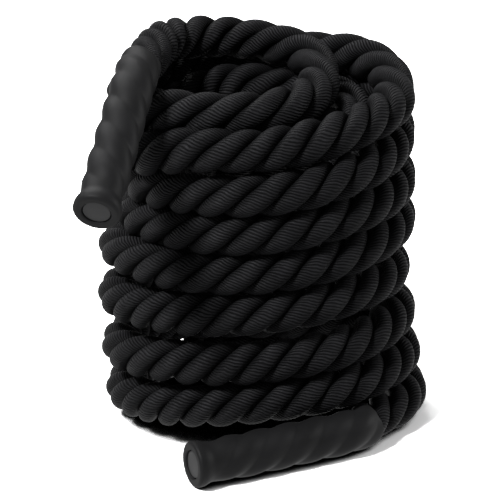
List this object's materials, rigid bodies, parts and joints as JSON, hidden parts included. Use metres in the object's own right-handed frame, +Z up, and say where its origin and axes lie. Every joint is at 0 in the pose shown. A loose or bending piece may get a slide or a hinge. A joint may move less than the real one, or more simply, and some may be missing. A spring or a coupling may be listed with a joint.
{
  "type": "battle rope",
  "caption": "Thick laid rope for whip training, put away in a standing coil, with a heat-shrunk rubber grip and an end cap on each of its ends.",
  "frame": {"origin": "on the floor, under the middle of the part's box", "axes": "+Z up along the coil, -Y towards the side where both grips lie, +X to the right seen from there"},
  "size_m": [0.4062, 0.4692, 0.4709],
  "materials": {
    "rope_yarn": "matte black polyester yarn",
    "strand_yarn": "matte black polyester yarn",
    "shrunk_rubber": "satin dark grey heat-shrink rubber",
    "cap_rubber": "satin grey rubber",
    "whipping_tape": "matte black binding tape"
  },
  "bodies": {
    "root": {"rope_coil": "rope_yarn", "grip_sleeve_top": "shrunk_rubber", "end_cap_top": "cap_rubber", "whipping_top": "whipping_tape", "strand_end_top_1": "strand_yarn", "strand_end_top_2": "strand_yarn", "strand_end_top_3": "strand_yarn", "grip_sleeve_bottom": "shrunk_rubber", "end_cap_bottom": "cap_rubber", "whipping_bottom": "whipping_tape", "strand_end_bottom_1": "strand_yarn", "strand_end_bottom_2": "strand_yarn", "strand_end_bottom_3": "strand_yarn"}
  },
  "joints": []
}
